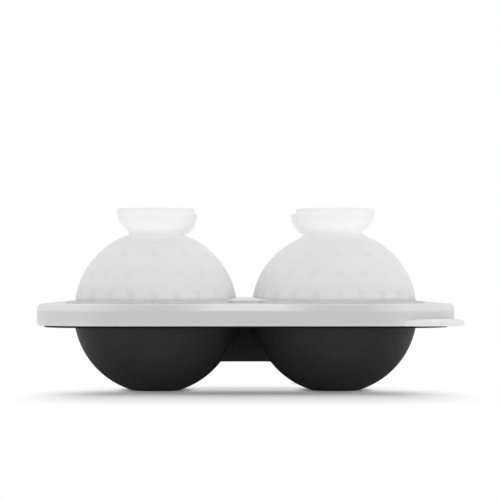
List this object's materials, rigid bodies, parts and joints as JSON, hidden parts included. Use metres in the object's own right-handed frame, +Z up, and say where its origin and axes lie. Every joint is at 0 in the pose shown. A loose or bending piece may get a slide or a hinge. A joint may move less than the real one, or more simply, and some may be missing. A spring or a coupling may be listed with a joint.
{
  "type": "golf ball ice mold",
  "caption": "Square ice mold whose frosted lid of funnel-topped domes lifts off a black tray of round cups to release dimpled golf ball ice.",
  "frame": {"origin": "on the surface the mold stands on, midway between its four feet, which is the bottom centre of its box to within a millimetre because the pull tab stands out at one corner", "axes": "+Z up, the way the lid lifts; +X to the right and -Y to the front, as pictured"},
  "size_m": [0.1276, 0.1276, 0.0556],
  "materials": {
    "black_plastic": "satin black",
    "black_silicone": "satin black silicone",
    "frosted_plastic": "frosted",
    "milky_silicone": "milky translucent silicone"
  },
  "bodies": {
    "tray": {"tray_frame": "black_plastic", "cup_front_left": "black_silicone", "cup_front_right": "black_silicone", "cup_rear_left": "black_silicone", "cup_rear_right": "black_silicone"},
    "lid": {"lid_frame": "frosted_plastic", "dome_front_left": "milky_silicone", "dome_front_right": "milky_silicone", "dome_rear_left": "milky_silicone", "dome_rear_right": "milky_silicone"}
  },
  "joints": [
    {"name": "lid_lift", "type": "slide", "parent": "tray", "child": "lid", "axis": [0, 0, 1], "range_m": [0, 0.06]}
  ]
}
